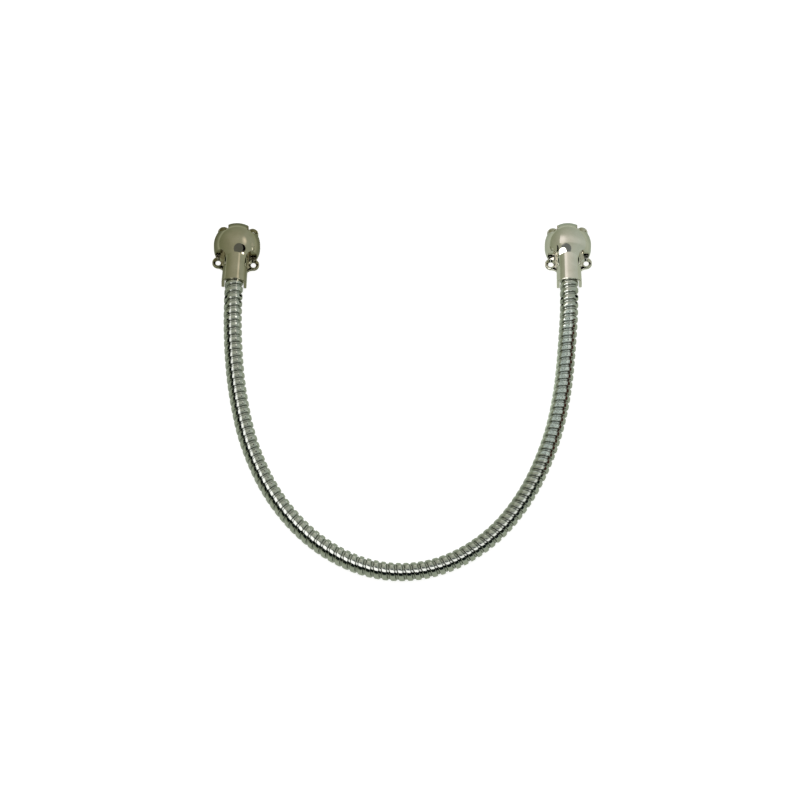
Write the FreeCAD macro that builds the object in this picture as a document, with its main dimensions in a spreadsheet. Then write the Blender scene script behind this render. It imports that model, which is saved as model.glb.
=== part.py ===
import FreeCAD, Part

# An armoured door loop in millimetres: a stainless steel flexible hose laid in a U, with a die-cast end cap
# on each end. The loop lies on its back on the XY plane. The origin is midway between the two caps, on their
# mounting face. X runs from cap to cap, +Y points to the tops of the domes and the hose hangs towards -Y.
# A cap's own frame has its origin under the centre of its dome, with the hood along its -Y axis.

import math
import os

import Sketcher

Vector = FreeCAD.Vector
Rotation = FreeCAD.Rotation
Placement = FreeCAD.Placement

document = FreeCAD.newDocument("door_loop")

# Driving dimensions

SIZES = {
    # place of the caps
    "cap_spacing": (198.4, "between the centres of the two domes"),
    "left_cap_turn": (-4.0, "degrees that the left cap is turned on the surface"),
    "right_cap_turn": (1.8, "degrees that the right cap is turned on the surface"),
    # dome
    "dome_radius": (13.9, "radius of the dome's foot"),
    "dome_skirt": (5.2, "height of the straight wall below the dome"),
    "dome_rise": (11.2, "height of the dome above its straight wall"),
    "dome_shoulder": (6.5, "radius of the arc between the straight wall and the crown"),
    "cap_wall": (1.6, "wall of the casting"),
    # hood
    "hood_length": (25.7, "from the dome's centre to the hood's mouth"),
    "hood_root_width": (14.0, "width of the hood at the dome's centre"),
    "hood_mouth_width": (15.0, "width of the hood at its mouth"),
    "hood_edge": (0.4, "rounding of the mouth's edges"),
    # ears
    "ear_radius": (3.5, "radius of an ear"),
    "ear_thickness": (1.9, "thickness of an ear and of the web beside it"),
    "ear_edge": (0.5, "rounding of an ear's top edge"),
    "web_reach": (1.9, "how far the web runs on towards the mouth"),
    "screw_hole": (3.2, "diameter of a screw hole"),
    "screw_sink": (5.8, "diameter of a screw hole's countersink at the top of the ear"),
    "lower_notch_radius": (4.5, "radius of the notch in the dome above a lower ear, for a screw's head"),
    "lower_hole_spacing": (21.2, "between the two screw holes beside the hood"),
    "lower_hole_setback": (10.45, "from the dome's centre to the lower holes"),
    "upper_notch_radius": (3.8, "radius of the notch in the dome above an upper ear"),
    "upper_hole_spacing": (17.3, "between the two screw holes behind the dome"),
    "upper_hole_setback": (9.6, "from the dome's centre to the upper holes"),
    # hose
    "hose_outer": (11.0, "outer diameter of the hose over its crests"),
    "hose_bore": (8.0, "clear bore of the hose"),
    "hose_height": (6.7, "height of the hose's axis inside a cap"),
    "hose_lead": (29.0, "straight run of the route out of a cap"),
    # collar and bush
    "hood_clearance": (0.25, "between the hose and the hood's channel, all round"),
    "collar_shoulder": (11.5, "from the dome's centre to the shoulder that holds the collar"),
    "collar_outer": (12.6, "outer diameter of the crimped collar"),
    "collar_clearance": (0.1, "between the collar and its pocket, all round"),
    "collar_grip": (4.5, "length of hose that the collar covers"),
    "collar_lip": (0.8, "thickness of the lip over the cut end of the hose"),
    "collar_edge": (0.4, "chamfer of the collar's edges"),
    "crimp_width": (1.6, "width of the groove rolled into the collar"),
    "crimp_depth": (0.35, "depth of the groove rolled into the collar"),
    "seat_clearance": (0.05, "between the hose and the collar or bush, all round"),
    "bush_bore": (6.6, "bore of the cable bush"),
    "bush_sleeve": (8.0, "length of the bush inside the hose"),
    "bush_flange": (10.6, "diameter of the bush's flange"),
    "bush_flange_thickness": (1.5, "thickness of the bush's flange"),
    "bush_edge": (0.6, "rounding of the flange's edges, which the cable runs over"),
    "overshoot": (1.0, "how far a section or a cut runs past an open face"),
}

sheet = document.addObject("Spreadsheet::Sheet", "Sizes")
for row, (alias, (value, meaning)) in enumerate(SIZES.items(), start=1):
    sheet.set(f"A{row}", alias)
    sheet.set(f"B{row}", str(value))
    sheet.set(f"C{row}", meaning)
    sheet.setAlias(f"B{row}", alias)
derived = document.addObject("Spreadsheet::Sheet", "Derived")
derived_rows = {}
document.recompute()

# Points of the hose's route between the two leads, in the frame of the whole loop. They follow the loop as it
# lies: the legs come down onto the surface and the bow is a little fuller on its left side.
LAID_HEIGHT = 5.6
ROUTE_BENDS = [
    (-101.5, -62.0, 6.0),
    (-98.8, -92.0, LAID_HEIGHT),
    (-92.0, -126.0, LAID_HEIGHT),
    (-76.5, -161.5, LAID_HEIGHT),
    (-51.0, -191.0, LAID_HEIGHT),
    (-17.5, -208.5, LAID_HEIGHT),
    (18.5, -207.8, LAID_HEIGHT),
    (51.5, -189.0, LAID_HEIGHT),
    (74.2, -159.8, LAID_HEIGHT),
    (89.0, -124.3, LAID_HEIGHT),
    (95.8, -92.0, LAID_HEIGHT),
    (98.5, -61.0, 6.0),
]
ARC_SHARE = 0.45

# Foot of each section, below the mounting face, and how near two positions count as one
BELOW = "0 - overshoot"
TOUCH = 1e-4


def size(alias):
    """Value of one driving dimension."""
    return float(sheet.get(alias))


def bound(formula):
    """The formula with each name of a driving dimension pointing at its cell."""
    words = formula.replace("(", "( ").replace(")", " )").split()
    return " ".join(f"Sizes.{word}" if word in SIZES else word for word in words)


def value_of(formula):
    """Value of a formula of driving dimensions, which gets a row of its own in the second sheet."""
    if formula not in derived_rows:
        row = len(derived_rows) + 1
        derived_rows[formula] = row
        derived.set(f"A{row}", f"'{formula}")
        derived.set(f"B{row}", f"={bound(formula)}")
        derived.recompute()
    return float(derived.get(f"B{derived_rows[formula]}"))


# Helpers for bodies and sketches


def new_body(label):
    body = document.addObject("PartDesign::Body", label)
    body.Label = label
    return body


def origin_plane(body, role):
    return next(feature for feature in body.Origin.OriginFeatures if feature.Role == role)


def new_sketch(body, name, role, offset=None):
    """A sketch on one of the body's origin planes, moved along the plane's normal by a formula."""
    sketch = body.newObject("Sketcher::SketchObject", f"{body.Name}_{name}")
    sketch.AttachmentSupport = (origin_plane(body, role), "")
    sketch.MapMode = "FlatFace"
    if offset is not None:
        sketch.setExpression("AttachmentOffset.Base.z", bound(offset))
    return sketch


def constrain(sketch, formula, *constraint):
    """Adds a constraint whose value is a formula of driving dimensions."""
    index = sketch.addConstraint(Sketcher.Constraint(*constraint, value_of(formula)))
    sketch.setExpression(f"Constraints[{index}]", bound(formula))


def segment(sketch, start, end):
    return sketch.addGeometry(Part.LineSegment(Vector(*start, 0), Vector(*end, 0)))


def arc(sketch, centre, radius, first_degrees, last_degrees):
    circle = Part.Circle(Vector(*centre, 0), Vector(0, 0, 1), radius)
    shape = Part.ArcOfCircle(circle, math.radians(first_degrees), math.radians(last_degrees))
    return sketch.addGeometry(shape)


def join(sketch, first, first_end, second, second_end):
    sketch.addConstraint(Sketcher.Constraint("Coincident", first, first_end, second, second_end))


def closed_outline(sketch, corners):
    """Straight segments through the corners, joined end to end. Returns their indices."""
    following = corners[1:] + corners[:1]
    lines = [segment(sketch, start, end) for start, end in zip(corners, following)]
    for line, next_line in zip(lines, lines[1:] + lines[:1]):
        join(sketch, line, 2, next_line, 1)
    return lines


def keep_axes(sketch, lines):
    """Holds each segment horizontal or vertical, whichever it was drawn."""
    for line in lines:
        shape = sketch.Geometry[line]
        level = abs(shape.StartPoint.y - shape.EndPoint.y) < abs(shape.StartPoint.x - shape.EndPoint.x)
        sketch.addConstraint(Sketcher.Constraint("Horizontal" if level else "Vertical", line))


def new_feature(body, kind, name):
    """A feature of the body that keeps its faces as they are cut, which leaves the dome's surface whole."""
    feature = body.newObject(f"PartDesign::{kind}", f"{body.Name}_{name}")
    feature.Refine = False
    return feature


def pad(body, name, sketch, length, reverse=False):
    feature = new_feature(body, "Pad", name)
    feature.Profile = sketch
    feature.setExpression("Length", bound(length))
    feature.Reversed = reverse
    document.recompute()
    return feature


def pocket_through(body, name, sketch, reverse=False):
    feature = new_feature(body, "Pocket", name)
    feature.Profile = sketch
    feature.Type = "ThroughAll"
    feature.Reversed = reverse
    document.recompute()
    return feature


def revolve(body, name, sketch, axis, kind="Revolution"):
    feature = new_feature(body, kind, name)
    feature.Profile = sketch
    feature.ReferenceAxis = (sketch, [axis])
    feature.Angle = 360
    document.recompute()
    return feature


def finish_edges(body, name, chosen, amount, kind="Fillet"):
    """Fillet or chamfer of the edges of the body that the test picks."""
    base = body.Tip
    edges = [f"Edge{i}" for i, edge in enumerate(base.Shape.Edges, start=1) if chosen(edge)]
    feature = new_feature(body, kind, name)
    feature.Base = (base, edges)
    feature.setExpression("Radius" if kind == "Fillet" else "Size", bound(amount))
    document.recompute()
    return feature


# End cap


def dome_sketch(body, inset, foot):
    """Half section of the dome, moved inwards by the inset: straight wall, shoulder arc and crown arc."""
    sketch = new_sketch(body, "dome_section", "XZ_Plane")
    radius = value_of(f"dome_radius{inset}")
    shoulder = value_of(f"dome_shoulder{inset}")
    rise = value_of(f"dome_rise{inset}")
    base = value_of(foot)
    skirt = size("dome_skirt")
    top = skirt + rise
    crown = ((radius - shoulder) ** 2 + rise**2 - shoulder**2) / (2 * (rise - shoulder))
    turn = math.degrees(math.atan2(crown - rise, radius - shoulder))
    floor = segment(sketch, (0, base), (radius, base))
    wall = segment(sketch, (radius, base), (radius, skirt))
    shoulder_arc = arc(sketch, (radius - shoulder, skirt), shoulder, 0, turn)
    crown_arc = arc(sketch, (0, top - crown), crown, turn, 90)
    axis = segment(sketch, (0, top), (0, base))
    join(sketch, floor, 2, wall, 1)
    sketch.addConstraint(Sketcher.Constraint("Tangent", wall, 2, shoulder_arc, 1))
    sketch.addConstraint(Sketcher.Constraint("Tangent", shoulder_arc, 2, crown_arc, 1))
    join(sketch, crown_arc, 2, axis, 1)
    join(sketch, axis, 2, floor, 1)
    keep_axes(sketch, [floor, wall])
    for line, end in ((floor, 1), (axis, 1), (crown_arc, 3)):
        sketch.addConstraint(Sketcher.Constraint("PointOnObject", line, end, -2))
    constrain(sketch, foot, "DistanceY", -1, 1, floor, 1)
    constrain(sketch, f"dome_radius{inset}", "DistanceX", floor, 1, floor, 2)
    constrain(sketch, "dome_skirt", "DistanceY", -1, 1, wall, 2)
    constrain(sketch, f"dome_skirt + dome_rise{inset}", "DistanceY", -1, 1, axis, 1)
    constrain(sketch, f"dome_shoulder{inset}", "Radius", shoulder_arc)
    return sketch


def arch_sketch(body, name, half_width, foot, offset=None):
    """Section across the hood: straight sides with a round top about the hose's axis."""
    sketch = new_sketch(body, name, "XZ_Plane", offset)
    half, base, middle = value_of(half_width), value_of(foot), size("hose_height")
    floor = segment(sketch, (-half, base), (half, base))
    right = segment(sketch, (half, base), (half, middle))
    top = arc(sketch, (0, middle), half, 0, 180)
    left = segment(sketch, (-half, middle), (-half, base))
    join(sketch, floor, 2, right, 1)
    sketch.addConstraint(Sketcher.Constraint("Tangent", right, 2, top, 1))
    sketch.addConstraint(Sketcher.Constraint("Tangent", top, 2, left, 1))
    join(sketch, left, 2, floor, 1)
    keep_axes(sketch, [floor, right])
    sketch.addConstraint(Sketcher.Constraint("PointOnObject", top, 3, -2))
    constrain(sketch, foot, "DistanceY", -1, 1, floor, 1)
    constrain(sketch, half_width, "Radius", top)
    constrain(sketch, "hose_height", "DistanceY", -1, 1, top, 3)
    return sketch


def screw_places():
    """Signed formulas of the four screw holes, as (x, y) from the dome's centre."""
    return [
        (side, f"{pair}_hole_spacing / 2", y_sign, f"{pair}_hole_setback")
        for pair, y_sign in (("lower", -1), ("upper", 1))
        for side in (-1, 1)
    ]


def screw_circles(body, name, radius, offset=None):
    """A circle about each of the four screw holes. PAIR in the radius stands for lower or upper."""
    sketch = new_sketch(body, name, "XY_Plane", offset)
    for x_sign, x_formula, y_sign, y_formula in screw_places():
        own_radius = radius.replace("PAIR", "lower" if y_sign < 0 else "upper")
        centre = Vector(x_sign * value_of(x_formula), y_sign * value_of(y_formula), 0)
        circle = sketch.addGeometry(Part.Circle(centre, Vector(0, 0, 1), value_of(own_radius)))
        constrain(sketch, own_radius, "Radius", circle)
        x_points = (circle, 3, -1, 1) if x_sign < 0 else (-1, 1, circle, 3)
        y_points = (circle, 3, -1, 1) if y_sign < 0 else (-1, 1, circle, 3)
        constrain(sketch, x_formula, "DistanceX", *x_points)
        constrain(sketch, y_formula, "DistanceY", *y_points)
    return sketch


def add_axis(sketch, line):
    """A construction line along one line of the section, to turn the section about."""
    shape = sketch.Geometry[line]
    axis = sketch.addGeometry(Part.LineSegment(shape.EndPoint, shape.StartPoint), True)
    join(sketch, axis, 1, line, 2)
    join(sketch, axis, 2, line, 1)


def ear_sketch(body, name, x_sign, x_formula, y_sign, y_formula):
    """Half section of one ear on its screw hole's axis, with a rounded top edge. The axis is its Axis0."""
    sketch = new_sketch(body, name, "XZ_Plane", y_formula if y_sign < 0 else f"0 - {y_formula}")
    axis_x, radius, edge = x_sign * value_of(x_formula), size("ear_radius"), size("ear_edge")
    base, top = value_of(BELOW), size("ear_thickness")
    outside = axis_x + radius
    inner = segment(sketch, (axis_x, top), (axis_x, base))
    floor = segment(sketch, (axis_x, base), (outside, base))
    wall = segment(sketch, (outside, base), (outside, top - edge))
    corner = arc(sketch, (outside - edge, top - edge), edge, 0, 90)
    seat = segment(sketch, (outside - edge, top), (axis_x, top))
    join(sketch, inner, 2, floor, 1)
    join(sketch, floor, 2, wall, 1)
    sketch.addConstraint(Sketcher.Constraint("Tangent", wall, 2, corner, 1))
    sketch.addConstraint(Sketcher.Constraint("Tangent", corner, 2, seat, 1))
    join(sketch, seat, 2, inner, 1)
    keep_axes(sketch, [inner, floor, wall, seat])
    constrain(sketch, x_formula, "DistanceX", *((inner, 1, -1, 1) if x_sign < 0 else (-1, 1, inner, 1)))
    constrain(sketch, BELOW, "DistanceY", -1, 1, floor, 1)
    constrain(sketch, "ear_thickness", "DistanceY", -1, 1, inner, 1)
    constrain(sketch, "ear_radius", "DistanceX", floor, 1, floor, 2)
    constrain(sketch, "ear_edge", "Radius", corner)
    add_axis(sketch, inner)
    return sketch


def sink_sketch(body, name, x_sign, x_formula, y_sign, y_formula):
    """Half section of one countersink on its screw hole's axis, open above the ear. The axis is its Axis0."""
    sketch = new_sketch(body, name, "XZ_Plane", y_formula if y_sign < 0 else f"0 - {y_formula}")
    axis_x, radius = x_sign * value_of(x_formula), value_of("screw_sink / 2")
    seat, above = size("ear_thickness"), value_of("ear_thickness + overshoot")
    corners = [(axis_x, above), (axis_x, seat - radius), (axis_x + radius, seat), (axis_x + radius, above)]
    inner, _, wall, top = closed_outline(sketch, corners)
    keep_axes(sketch, [inner, wall, top])
    constrain(sketch, x_formula, "DistanceX", *((inner, 1, -1, 1) if x_sign < 0 else (-1, 1, inner, 1)))
    constrain(sketch, "ear_thickness + overshoot", "DistanceY", -1, 1, inner, 1)
    constrain(sketch, "ear_thickness - screw_sink / 2", "DistanceY", -1, 1, inner, 2)
    constrain(sketch, "ear_thickness", "DistanceY", -1, 1, wall, 1)
    constrain(sketch, "screw_sink / 2", "DistanceX", top, 2, top, 1)
    add_axis(sketch, inner)
    return sketch


def plain_circle(body, name, radius):
    """One circle about the dome's centre, on the mounting face."""
    sketch = new_sketch(body, name, "XY_Plane")
    circle = sketch.addGeometry(Part.Circle(Vector(), Vector(0, 0, 1), value_of(radius)))
    join(sketch, circle, 3, -1, 1)
    constrain(sketch, radius, "Radius", circle)
    return sketch


def web_sketch(body):
    """The two webs that run from the lower ears into the hood's sides with a hollow curve."""
    sketch = new_sketch(body, "web_outline", "XY_Plane")
    inner, outer = value_of("hood_root_width / 2"), value_of("lower_hole_spacing / 2")
    setback, tip = size("lower_hole_setback"), value_of("lower_hole_setback + ear_radius")
    reach = size("web_reach")
    width = outer - inner
    radius = (width**2 + reach**2) / (2 * reach)
    swing = math.degrees(math.asin(width / radius))
    if reach > width:
        swing = 180 - swing
    for side in (-1, 1):
        top = segment(sketch, (side * outer, -setback), (side * inner, -setback))
        hood_side = segment(sketch, (side * inner, -setback), (side * inner, -tip - reach))
        span = (90, 90 + swing) if side > 0 else (90 - swing, 90)
        hollow = arc(sketch, (side * outer, -tip - radius), radius, *span)
        ear_side = segment(sketch, (side * outer, -tip), (side * outer, -setback))
        at_ear, at_hood = (1, 2) if side > 0 else (2, 1)
        join(sketch, top, 2, hood_side, 1)
        join(sketch, hood_side, 2, hollow, at_hood)
        join(sketch, hollow, at_ear, ear_side, 1)
        join(sketch, ear_side, 2, top, 1)
        keep_axes(sketch, [top, hood_side, ear_side])
        sketch.addConstraint(Sketcher.Constraint("Vertical", hollow, 3, ear_side, 1))
        x_points = ((ear_side, 2, -1, 1), (hood_side, 1, -1, 1))
        if side > 0:
            x_points = ((-1, 1, ear_side, 2), (-1, 1, hood_side, 1))
        constrain(sketch, "lower_hole_spacing / 2", "DistanceX", *x_points[0])
        constrain(sketch, "hood_root_width / 2", "DistanceX", *x_points[1])
        constrain(sketch, "lower_hole_setback", "DistanceY", ear_side, 2, -1, 1)
        constrain(sketch, "ear_radius", "DistanceY", ear_side, 1, ear_side, 2)
        constrain(sketch, "web_reach", "DistanceY", hood_side, 2, ear_side, 1)
    return sketch


def middle_of(edge):
    return edge.valueAt((edge.FirstParameter + edge.LastParameter) / 2)


def at_mouth(edge):
    """Whether the edge runs round the hood's mouth, above the mounting face."""
    middle = middle_of(edge)
    return abs(middle.y + size("hood_length")) < TOUCH and middle.z > TOUCH


def make_core(side):
    """The space inside one cap: the dome's inside, the hose's channel and the collar's pocket."""
    core = new_body(f"{side}_cap_core")
    revolve(core, "dome", dome_sketch(core, " - cap_wall", BELOW), "V_Axis")
    wall_circles = screw_circles(core, "notch_wall_circles", "PAIR_notch_radius + cap_wall")
    walls = pocket_through(core, "notch_walls", wall_circles)
    walls.Midplane = True
    document.recompute()
    channel_half, pocket_half = "hose_outer / 2 + hood_clearance", "collar_outer / 2 + collar_clearance"
    channel = arch_sketch(core, "channel_section", channel_half, BELOW, "collar_shoulder")
    pad(core, "channel", channel, "hood_length - collar_shoulder + overshoot")
    pocket = arch_sketch(core, "pocket_section", pocket_half, BELOW, "collar_shoulder")
    pad(core, "pocket", pocket, "collar_grip + collar_lip + bush_flange_thickness", reverse=True)
    return core


def make_cap(side):
    """One die-cast end cap: dome, hood and four notched ears, hollow from the back."""
    cap = new_body(f"{side}_end_cap")
    revolve(cap, "dome", dome_sketch(cap, "", BELOW), "V_Axis")
    notch_circles = screw_circles(cap, "notch_circles", "PAIR_notch_radius", "ear_thickness")
    pocket_through(cap, "notches", notch_circles, reverse=True)
    root = arch_sketch(cap, "hood_root", "hood_root_width / 2", BELOW)
    mouth = arch_sketch(cap, "hood_mouth", "hood_mouth_width / 2", BELOW, "hood_length")
    hood = new_feature(cap, "AdditiveLoft", "hood")
    hood.Profile = root
    hood.Sections = [mouth]
    hood.Ruled = True
    document.recompute()
    for number, screw_place in enumerate(screw_places()):
        revolve(cap, f"ear_{number}", ear_sketch(cap, f"ear_section_{number}", *screw_place), "Axis0")
    pad(cap, "webs", web_sketch(cap), "ear_thickness")
    hollow = new_feature(cap, "Boolean", "hollow")
    hollow.Type = "Cut"
    hollow.setObjects([make_core(side)])
    cap.Tip = hollow
    document.recompute()
    holes = pocket_through(cap, "screw_holes", screw_circles(cap, "screw_hole_circles", "screw_hole / 2"))
    holes.Midplane = True
    document.recompute()
    for number, screw_place in enumerate(screw_places()):
        section = sink_sketch(cap, f"sink_section_{number}", *screw_place)
        revolve(cap, f"sink_{number}", section, "Axis0", "Groove")
    pocket_through(cap, "mounting_face", plain_circle(cap, "face_circle", "hood_length + dome_radius"))
    finish_edges(cap, "mouth_edges", at_mouth, "hood_edge")
    return cap


# Collar and bush, which are turned about the hose's axis


def turned_sketch(body, name, outline):
    """Half section of a turned piece. Its corners are pairs of formulas: how far they lie behind the
    shoulder that holds the collar, and their radius."""
    sketch = new_sketch(body, name, "YZ_Plane")
    corners = [(value_of(f"{along} - collar_shoulder"), value_of(radius)) for along, radius in outline]
    lines = closed_outline(sketch, corners)
    keep_axes(sketch, lines)
    for line, (along, radius) in list(zip(lines, outline))[::2]:
        constrain(sketch, f"collar_shoulder - {along}", "DistanceX", line, 1, -1, 1)
        constrain(sketch, radius, "DistanceY", -1, 1, line, 1)
    return sketch


def outer_rims(body_radius):
    """A test for the circles of that radius about the hose's axis."""

    def chosen(edge):
        middle = middle_of(edge)
        across = edge.BoundBox.YLength < TOUCH
        return across and abs(math.hypot(middle.x, middle.z) - value_of(body_radius)) < TOUCH

    return chosen


def make_collar(side):
    """The steel collar crimped on the hose's end, with a lip over the cut strip and one rolled groove."""
    collar = new_body(f"{side}_hose_collar")
    seat, lip_bore, outside = "hose_outer / 2 + seat_clearance", "hose_bore / 2", "collar_outer / 2"
    end = "( collar_grip + collar_lip )"
    outline = [
        ("0", seat),
        ("0", outside),
        (end, outside),
        (end, lip_bore),
        ("collar_grip", lip_bore),
        ("collar_grip", seat),
    ]
    revolve(collar, "ring", turned_sketch(collar, "ring_section", outline), "H_Axis")
    finish_edges(collar, "rims", outer_rims(outside), "collar_edge", "Chamfer")
    first, last = "( collar_grip / 2 - crimp_width / 2 )", "( collar_grip / 2 + crimp_width / 2 )"
    deep, clear = f"{outside} - crimp_depth", f"{outside} + crimp_depth"
    crimp = [(first, deep), (first, clear), (last, clear), (last, deep)]
    revolve(collar, "crimp", turned_sketch(collar, "crimp_section", crimp), "H_Axis", "Groove")
    return collar


def make_bush(side):
    """The plastic bush in the hose's end, whose round flange keeps the cable off the metal."""
    bush = new_body(f"{side}_cable_bush")
    bore, sleeve, flange = "bush_bore / 2", "hose_bore / 2 - seat_clearance", "bush_flange / 2"
    seat = "( collar_grip + collar_lip )"
    face = "( collar_grip + collar_lip + bush_flange_thickness )"
    tip = "( collar_grip + collar_lip - bush_sleeve )"
    outline = [(tip, bore), (tip, sleeve), (seat, sleeve), (seat, flange), (face, flange), (face, bore)]
    revolve(bush, "sleeve", turned_sketch(bush, "half_section", outline), "H_Axis")
    face_y = value_of(f"{face} - collar_shoulder")
    finish_edges(bush, "cable_edges", lambda edge: abs(middle_of(edge).y - face_y) < TOUCH, "bush_edge")
    return bush


# Places of the two ends


def place(piece, side, height):
    """Puts a piece of one end where its cap lies, turned on the surface as the cap is."""
    sign = "-1 *" if side == "left" else ""
    piece.Placement = Placement(Vector(), Rotation(Vector(0, 0, 1), 1))
    piece.setExpression("Placement.Base.x", bound(f"{sign} cap_spacing / 2"))
    piece.setExpression("Placement.Base.y", bound("( hood_length - dome_radius ) / 2"))
    piece.setExpression("Placement.Base.z", bound(height))
    piece.setExpression("Placement.Rotation.Angle", bound(f"{side}_cap_turn * 1 deg"))


# Hose


def end_point(side, along):
    """Point on the hose's axis in one cap, that far from the dome's centre towards the mouth."""
    turn = Rotation(Vector(0, 0, 1), size(f"{side}_cap_turn"))
    foot = Vector(size("cap_spacing") / 2, value_of("( hood_length - dome_radius ) / 2"), size("hose_height"))
    if side == "left":
        foot.x = -foot.x
    return foot + turn.multVec(Vector(0, -along, 0))


def hose_route():
    """Corner points of the hose's axis, from the left collar's lip to the right one's."""
    end = value_of("collar_shoulder - collar_grip")
    lead = value_of("collar_shoulder - collar_grip + hose_lead")
    bends = [Vector(*point) for point in ROUTE_BENDS]
    return [
        end_point("left", end),
        end_point("left", lead),
        *bends,
        end_point("right", lead),
        end_point("right", end),
    ]


def rounded_path(points):
    """Straight runs joined by tangent arcs, as one wire, and the radii of the arcs."""
    edges, radii, start = [], [], points[0]
    for before, corner, after in zip(points, points[1:], points[2:]):
        back, onward = before - corner, after - corner
        reach = ARC_SHARE * min(back.Length, onward.Length)
        half_turn = (math.pi - back.getAngle(onward)) / 2
        radius = reach / math.tan(half_turn)
        back.normalize()
        onward.normalize()
        inward = back + onward
        inward.normalize()
        arc_start, arc_end = corner + back * reach, corner + onward * reach
        arc_middle = corner + inward * (radius / math.cos(half_turn) - radius)
        edges.append(Part.LineSegment(start, arc_start).toShape())
        edges.append(Part.Arc(arc_start, arc_middle, arc_end).toShape())
        radii.append(radius)
        start = arc_end
    edges.append(Part.LineSegment(start, points[-1]).toShape())
    return Part.Wire(edges), radii


def tube(path, points, diameter):
    """Solid round bar along the path."""
    circle = Part.Circle(points[0], points[1] - points[0], diameter / 2).toShape()
    return path.makePipeShell([Part.Wire([circle])], True, False)


def make_hose():
    """The flexible hose as a plain tube along its laid route."""
    points = hose_route()
    path, radii = rounded_path(points)
    shape = tube(path, points, size("hose_outer")).cut(tube(path, points, size("hose_bore")))
    hose = document.addObject("Part::Feature", "flexible_hose")
    hose.Shape = shape
    hose.Label = "flexible_hose"
    hose.Placement = Placement()
    section = math.pi * (size("hose_outer") ** 2 - size("hose_bore") ** 2) / 4
    print("hose length", round(path.Length, 1))
    print("hose volume over section times length", round(shape.Volume / (section * path.Length), 5))
    print("hose arc radii", [round(radius) for radius in radii])
    return hose


# Build, check and write


def check(parts):
    """Stops the script if an object failed or a part isn't one valid solid."""
    document.recompute()
    failed = [thing.Name for thing in document.Objects if {"Invalid", "Error"} & set(thing.State)]
    if failed:
        raise RuntimeError(f"failed objects: {failed}")
    for part in parts:
        shape = part.Shape
        if shape.isNull() or not shape.isValid() or len(shape.Solids) != 1:
            raise RuntimeError(f"{part.Label} isn't one valid solid")


def main():
    parts = [make_hose()]
    for side in ("left", "right"):
        cap, collar, bush = make_cap(side), make_collar(side), make_bush(side)
        place(cap, side, "0")
        place(collar, side, "hose_height")
        place(bush, side, "hose_height")
        parts += [cap, collar, bush]
    check(parts)
    os.makedirs("parts", exist_ok=True)
    for part in parts:
        part.Shape.exportStep(f"parts/{part.Label}.step")
        print(part.Label, round(part.Shape.Volume), "mm3")


main()
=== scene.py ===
import logging
import math
from dataclasses import dataclass, field
from enum import Enum
from typing import Sequence

import bpy
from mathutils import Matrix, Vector


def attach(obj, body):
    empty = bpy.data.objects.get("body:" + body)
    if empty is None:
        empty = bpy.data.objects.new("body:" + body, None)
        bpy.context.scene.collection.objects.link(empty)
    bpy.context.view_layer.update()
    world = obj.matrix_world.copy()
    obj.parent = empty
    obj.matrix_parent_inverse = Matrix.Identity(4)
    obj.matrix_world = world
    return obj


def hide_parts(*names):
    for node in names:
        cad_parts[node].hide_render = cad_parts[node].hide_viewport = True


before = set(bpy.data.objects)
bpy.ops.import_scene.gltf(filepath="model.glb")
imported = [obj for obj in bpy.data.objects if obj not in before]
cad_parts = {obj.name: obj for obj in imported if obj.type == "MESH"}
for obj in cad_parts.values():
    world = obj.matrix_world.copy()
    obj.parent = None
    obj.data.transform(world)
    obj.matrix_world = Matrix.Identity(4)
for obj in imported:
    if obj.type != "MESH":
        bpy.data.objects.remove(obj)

log = logging.getLogger("door_loop")
logging.basicConfig(level=logging.INFO, format="%(name)s: %(message)s")

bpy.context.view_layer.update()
BODY = "root"
FADE = "fade"
NOISE_SPAN = (0.3, 0.7)
SAME_PLACE = 1e-7
DOWN = Vector((0.0, 0.0, -1.0))

Pair = tuple[float, float]
Point = tuple[float, float, float]
Colour = tuple[float, float, float]
Edge = tuple[Pair, Pair, Pair]


class Side(Enum):
    """The two ends of the loop."""

    LEFT = "left"
    RIGHT = "right"


class Strip(str, Enum):
    """Names of the attributes that the wound strip carries for its finish and its painted shade."""

    MAP = "strip_map"
    HEIGHT = "strip_height"


# Helpers for materials and node trees


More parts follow.
